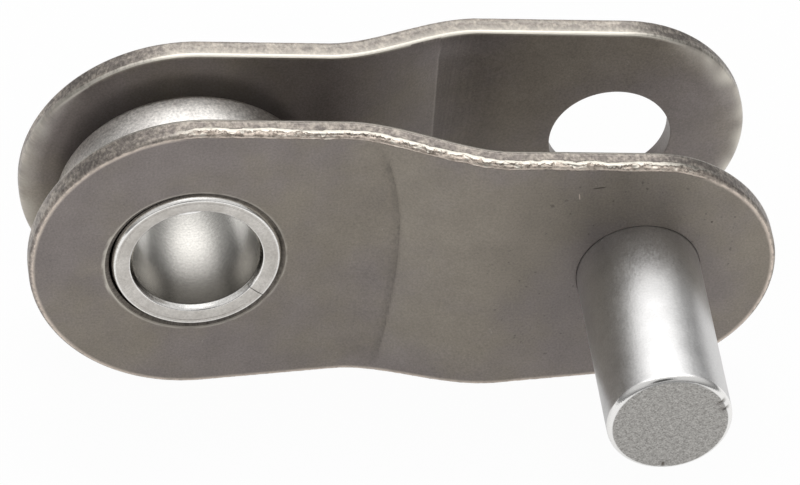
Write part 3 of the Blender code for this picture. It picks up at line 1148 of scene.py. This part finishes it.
def addCamera():
    back = direction(*camera["from"])
    right = Vector((-back.y, back.x, 0)).normalized()
    up = back.cross(right)
    roll = math.radians(camera["roll"])
    tilted = right * math.cos(roll) + up * math.sin(roll)
    lifted = back.cross(tilted)
    place = Matrix((tilted, lifted, back)).transposed().to_4x4()
    place.translation = Vector(camera["lookAt"]) + back * camera["distance"]
    data = bpy.data.cameras.new("camera")
    data.lens = camera["lens"]
    data.sensor_fit = "HORIZONTAL"
    data.clip_start = 0.001
    made = newObject("camera", data)
    made.matrix_world = place
    bpy.context.scene.camera = made


def rayShare(tree, *kinds):
    rays = addNode(tree, "LightPath").outputs
    total = rays[kinds[0]]
    for kind in kinds[1:]:
        total = calc(tree, "ADD", total, rays[kind], clamp=True)
    return total


def addFloor():
    shape = bmesh.new()
    bmesh.ops.create_grid(shape, x_segments=1, y_segments=1, size=studio["floorSize"] / 2)
    mesh = bpy.data.meshes.new("floor")
    shape.to_mesh(mesh)
    shape.free()
    floor = newObject("floor", mesh)
    floor.location.z = cadLow.z - 0.00001
    material, tree = newMaterial("paleFloor")
    shader = tree.nodes["Principled BSDF"]
    wire(tree, shader, {"Base Color": (*studio["floorColour"], 1), "Roughness": 0.9})
    white = addNode(tree, "Emission", {"Color": (1, 1, 1, 1), "Strength": 1.0})
    seen = rayShare(tree, "Is Camera Ray")
    mirrored = rayShare(tree, "Is Glossy Ray", "Is Transmission Ray")
    share = calc(tree, "MAXIMUM", times(tree, seen, studio["floorOwnWhite"]),
                 times(tree, mirrored, studio["floorMirroredWhite"]))
    blended = addNode(tree, "MixShader", {0: share, 1: shader.outputs[0], 2: white.outputs[0]})
    tree.links.new(blended.outputs[0], tree.nodes["Material Output"].inputs["Surface"])
    floor.data.materials.append(material)


def lightRoom():
    # Bright round the lamp, dim low down, and dark where the picture is taken from
    world = bpy.data.worlds.new("room")
    bpy.context.scene.world = world
    world.use_nodes = True
    tree = world.node_tree
    tree.nodes.clear()
    heading = addNode(tree, "TexCoord").outputs["Generated"]
    facing = vectorCalc(tree, "DOT_PRODUCT", heading, direction(*camera["from"]))
    far, near = (math.cos(math.radians(angle)) for angle in studio["shade"])
    shade = mapRange(tree, facing, far, near, 1.0, studio["shadeLevel"])
    low, high = (math.sin(math.radians(angle)) for angle in studio["horizon"])
    sky = mapRange(tree, axisOf(tree, heading, "Z"), low, high, studio["horizonLevel"], studio["skyLevel"])
    toLamp = vectorCalc(tree, "DOT_PRODUCT", heading, direction(*studio["glowFrom"]))
    far, near = (math.cos(math.radians(angle)) for angle in studio["glow"])
    glow = mapRange(tree, toLamp, far, near, 0.0, studio["glowLevel"])
    mirroredLevel = times(tree, calc(tree, "ADD", sky, glow), shade)
    mirrored, seen, lit = (
        addNode(tree, "Background", {"Color": (1, 1, 1, 1), "Strength": level}).outputs[0]
        for level in (mirroredLevel, 1.0, studio["roomLevel"]))
    glossy = rayShare(tree, "Is Glossy Ray")
    direct = rayShare(tree, "Is Camera Ray", "Is Transmission Ray")
    unseen = addNode(tree, "MixShader", {0: glossy, 1: lit, 2: mirrored}).outputs[0]
    room = addNode(tree, "MixShader", {0: direct, 1: unseen, 2: seen}).outputs[0]
    addNode(tree, "OutputWorld", {"Surface": room})


def addSoftbox():
    size, towards = studio["boxSize"], direction(*studio["boxFrom"])
    data = bpy.data.lights.new("softbox", "AREA")
    data.shape = "SQUARE"
    data.size = size
    data.energy = studio["boxLevel"] * math.pi * size * size
    box = newObject("softbox", data)
    box.location = towards * studio["boxDistance"]
    box.rotation_mode = "QUATERNION"
    box.rotation_quaternion = towards.to_track_quat("Z", "Y")
    box.visible_glossy = False  # the room's own glow is what metal shows


print("camera, floor and light")
addCamera()
addFloor()
lightRoom()
addSoftbox()
bpy.context.scene.view_settings.view_transform = "Standard"

print("side plates")
plateMaterial = plateSteel()
blankSheet = flatBlank()
for plateName in sides:
    sidePlate(plateName, blankSheet, plateMaterial)
blankSheet.free()

print("bushing, roller and pin")
makeBushing(bushingSteel())
makeRoller(rollerSteel())
makePin(pinSteel())
